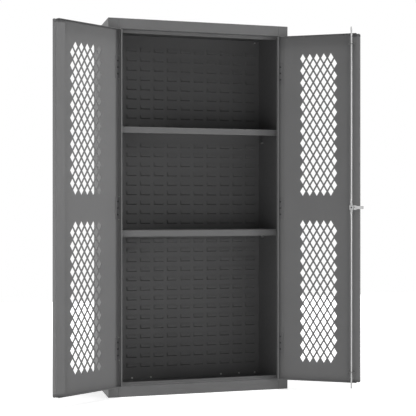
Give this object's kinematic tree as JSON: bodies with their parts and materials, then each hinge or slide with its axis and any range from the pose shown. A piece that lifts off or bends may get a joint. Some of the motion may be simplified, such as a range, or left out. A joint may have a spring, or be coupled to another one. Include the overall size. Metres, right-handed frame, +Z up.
{
  "type": "ventilated storage cabinet",
  "caption": "Steel storage cabinet with mesh-punched double doors, shelves, a louvred inner back wall and a turning handle that drives lock rods.",
  "frame": {"origin": "centre of the cabinet's base, on the floor, halfway between front and back walls", "axes": "+Z up; +X to the cabinet's right as seen from the front; the front with its doors faces -Y"},
  "size_m": [1.508, 0.7042, 1.8288],
  "materials": {
    "carcass_paint": "satin powder coat",
    "liner_paint": "satin powder coat",
    "shelf_paint": "satin powder coat",
    "door_paint": "satin powder coat",
    "hinge_paint": "satin powder coat",
    "zinc": "zinc plated",
    "latch_steel": "zinc plated",
    "handle_chrome": "satin chrome",
    "plug_brass": "turned"
  },
  "bodies": {
    "carcass": {"left_side": "carcass_paint", "right_side": "carcass_paint", "header": "carcass_paint", "sill": "carcass_paint", "top_panel": "carcass_paint", "bottom_panel": "carcass_paint", "back_wall": "carcass_paint", "louvre_liner": "liner_paint", "upper_shelf": "shelf_paint", "lower_shelf": "shelf_paint", "shelf_brackets": "shelf_paint", "bracket_bolts": "zinc", "liner_screws": "zinc", "left_frame_hinge_leaves": "hinge_paint", "right_frame_hinge_leaves": "hinge_paint", "left_frame_rivets": "zinc", "right_frame_rivets": "zinc", "left_hinge_pins": "zinc", "right_hinge_pins": "zinc"},
    "left_door": {"left_door_panel": "door_paint", "left_door_hinge_leaves": "hinge_paint", "left_door_rivets": "zinc"},
    "right_door": {"right_door_panel": "door_paint", "right_door_hinge_leaves": "hinge_paint", "right_door_rivets": "zinc", "upper_rod_guide": "door_paint", "lower_rod_guide": "door_paint", "rod_guide_screws": "zinc", "spindle_housing": "latch_steel", "lock_plate": "handle_chrome", "lock_plate_screws": "zinc"},
    "handle_set": {"handle": "handle_chrome", "spindle": "latch_steel", "cam_washer": "latch_steel", "latch_cam": "latch_steel", "cam_nut": "latch_steel", "crank_pins": "zinc"},
    "upper_rod": {"upper_lock_rod": "latch_steel"},
    "lower_rod": {"lower_lock_rod": "latch_steel"},
    "key_plug": {"lock_plug": "plug_brass"}
  },
  "joints": [
    {"name": "right_door_hinge", "type": "hinge", "parent": "carcass", "child": "right_door", "pos_m": [0.4054, -0.2303, 0.9125], "axis": [0, 0, 1], "range_deg": [-149.6, 30.4]},
    {"name": "left_door_hinge", "type": "hinge", "parent": "carcass", "child": "left_door", "pos_m": [-0.4054, -0.2303, 0.9125], "axis": [0, 0, -1], "range_deg": [-149.6, 30.4]},
    {"name": "handle_turn", "type": "hinge", "parent": "right_door", "child": "handle_set", "pos_m": [0.72625, -0.41855, 0.915], "axis": [0.506, 0.8625, 0], "range_deg": [0, 120]},
    {"name": "upper_rod_pivot", "type": "hinge", "parent": "handle_set", "child": "upper_rod", "pos_m": [0.72625, -0.41855, 0.942], "axis": [0.506, 0.8625, 0], "range_deg": [-122.5, 0]},
    {"name": "lower_rod_pivot", "type": "hinge", "parent": "handle_set", "child": "lower_rod", "pos_m": [0.72625, -0.41855, 0.888], "axis": [0.506, 0.8625, 0], "range_deg": [-122.5, 0]},
    {"name": "key_turn", "type": "hinge", "parent": "handle_set", "child": "key_plug", "pos_m": [0.72625, -0.41855, 0.915], "axis": [0.506, 0.8625, 0], "range_deg": [0, 90]}
  ],
  "couplings": [
    {"joint": "upper_rod_pivot", "follows": "handle_turn", "ratio": -1.0187},
    {"joint": "lower_rod_pivot", "follows": "handle_turn", "ratio": -1.0187}
  ]
}
